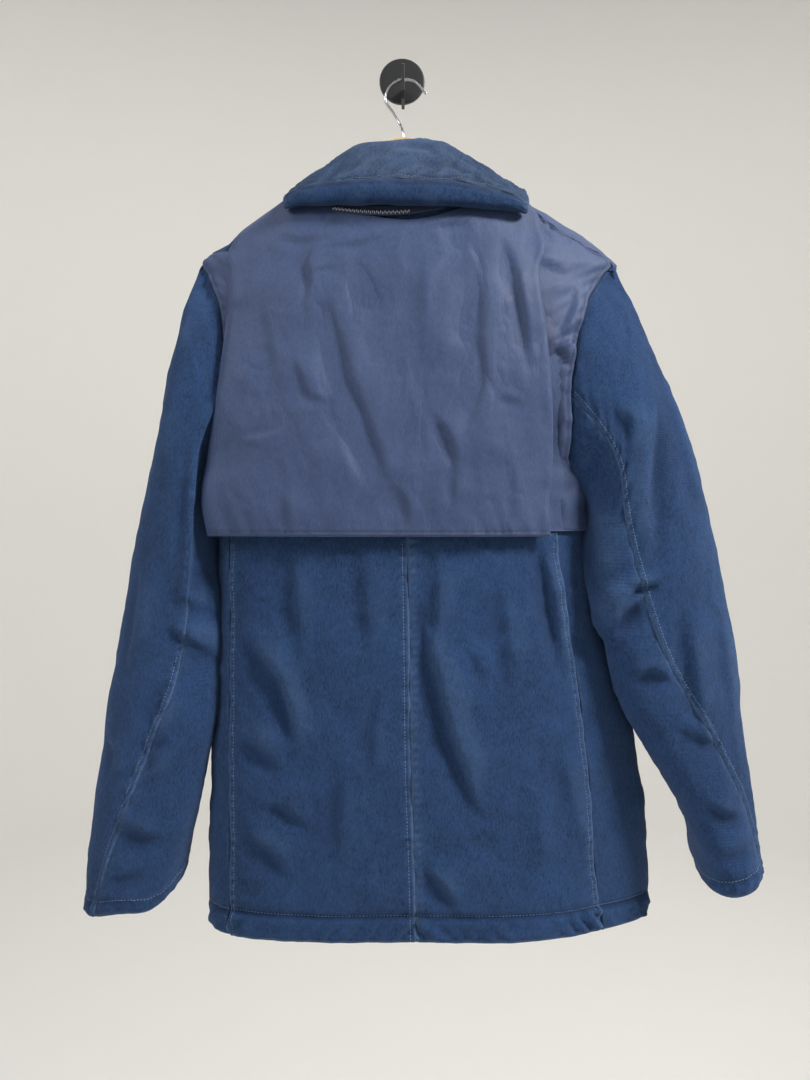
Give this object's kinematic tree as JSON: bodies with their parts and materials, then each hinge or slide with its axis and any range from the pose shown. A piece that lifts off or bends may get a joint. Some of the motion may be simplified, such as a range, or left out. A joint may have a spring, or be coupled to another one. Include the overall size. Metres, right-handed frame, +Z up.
{
  "type": "padded coat on a hanger and wall hook",
  "caption": "Padded thigh-length coat with a storm cape and a stuffed collar roll, hanging front to the wall on a wooden hanger from a round wall hook.",
  "frame": {"origin": "centre of the wall plate's back face, on the wall plane", "axes": "+Z up; +Y into the wall, square to it; +X to the right of somebody who looks at the wall and sees the coat's back"},
  "size_m": [0.6978, 0.1244, 0.9301],
  "materials": {
    "twill": "faded navy cotton twill with a slight nap, paler at the seams",
    "nylon": "smooth grey-navy plain-weave nylon with a soft sheen",
    "zip_tape": "woven navy tape",
    "wood": "light satin varnish",
    "steel_wire": "bright drawn wire",
    "hook_paint": "matt black powder coat"
  },
  "bodies": {
    "root": {"back_left": "twill", "back_right": "twill", "front_left": "twill", "front_right": "twill", "front_yoke_left": "nylon", "front_yoke_right": "nylon", "front_fly": "twill", "back_cape": "nylon", "cape_underlayer_left": "nylon", "cape_underlayer_right": "nylon", "upper_sleeve_left": "twill", "under_sleeve_left": "twill", "upper_sleeve_right": "twill", "under_sleeve_right": "twill", "collar": "twill", "collar_pouch": "twill", "collar_zip_tape": "zip_tape", "hanger_wood": "wood", "hanger_hook": "steel_wire", "wall_plate": "hook_paint", "wall_prong": "hook_paint"}
  },
  "joints": []
}
